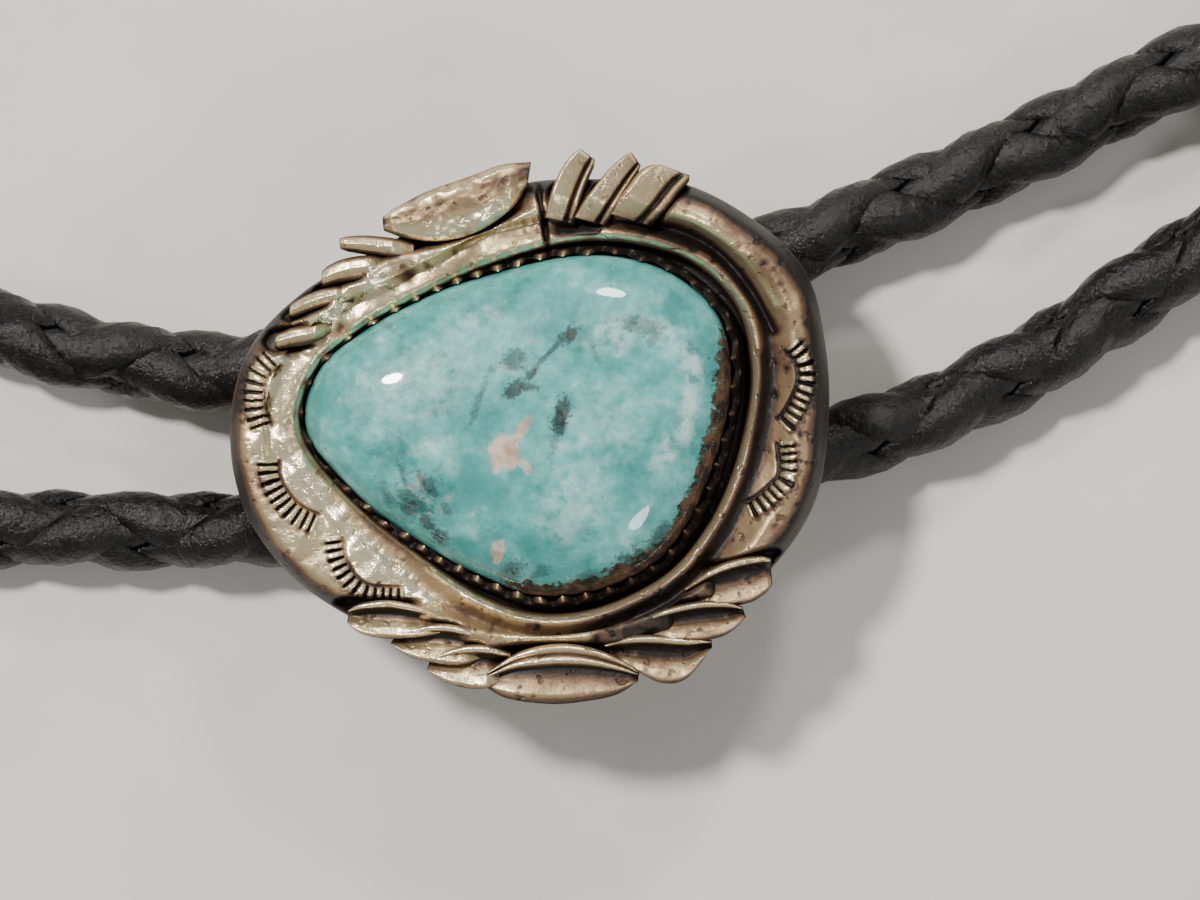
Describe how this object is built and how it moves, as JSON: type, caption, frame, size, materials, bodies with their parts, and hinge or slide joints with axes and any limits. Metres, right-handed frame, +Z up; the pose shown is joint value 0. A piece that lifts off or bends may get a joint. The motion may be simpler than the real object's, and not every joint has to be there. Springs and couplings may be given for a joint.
{
  "type": "bolo tie",
  "caption": "Bolo tie: a silver slide with leaf-edged border and domed turquoise stone on a round braided black leather cord, laid flat as an open neck loop with metal-tipped tails.",
  "frame": {"origin": "under the slide's centre, on the flat underside of the clip, which is the plane that the tie lies on", "axes": "+X away from the neck loop towards the free tails, +Z up out of the stone's face"},
  "size_m": [0.3849, 0.1802, 0.0121],
  "materials": {
    "aged_silver": "hand-worked sterling silver, warm and tarnished, dark in its recesses and bright on worn edges",
    "turquoise": "polished blue-green turquoise, mottled, with dark matrix and a tan patch",
    "plain_metal": "plain satin white metal",
    "black_leather": "round four-strand braid of half-shiny black leather"
  },
  "bodies": {
    "root": {"slide_body": "aged_silver", "turquoise_stone": "turquoise", "cord_clip": "plain_metal", "braided_cord": "black_leather", "cord_tip_upper": "plain_metal", "cord_tip_lower": "plain_metal"}
  },
  "joints": []
}
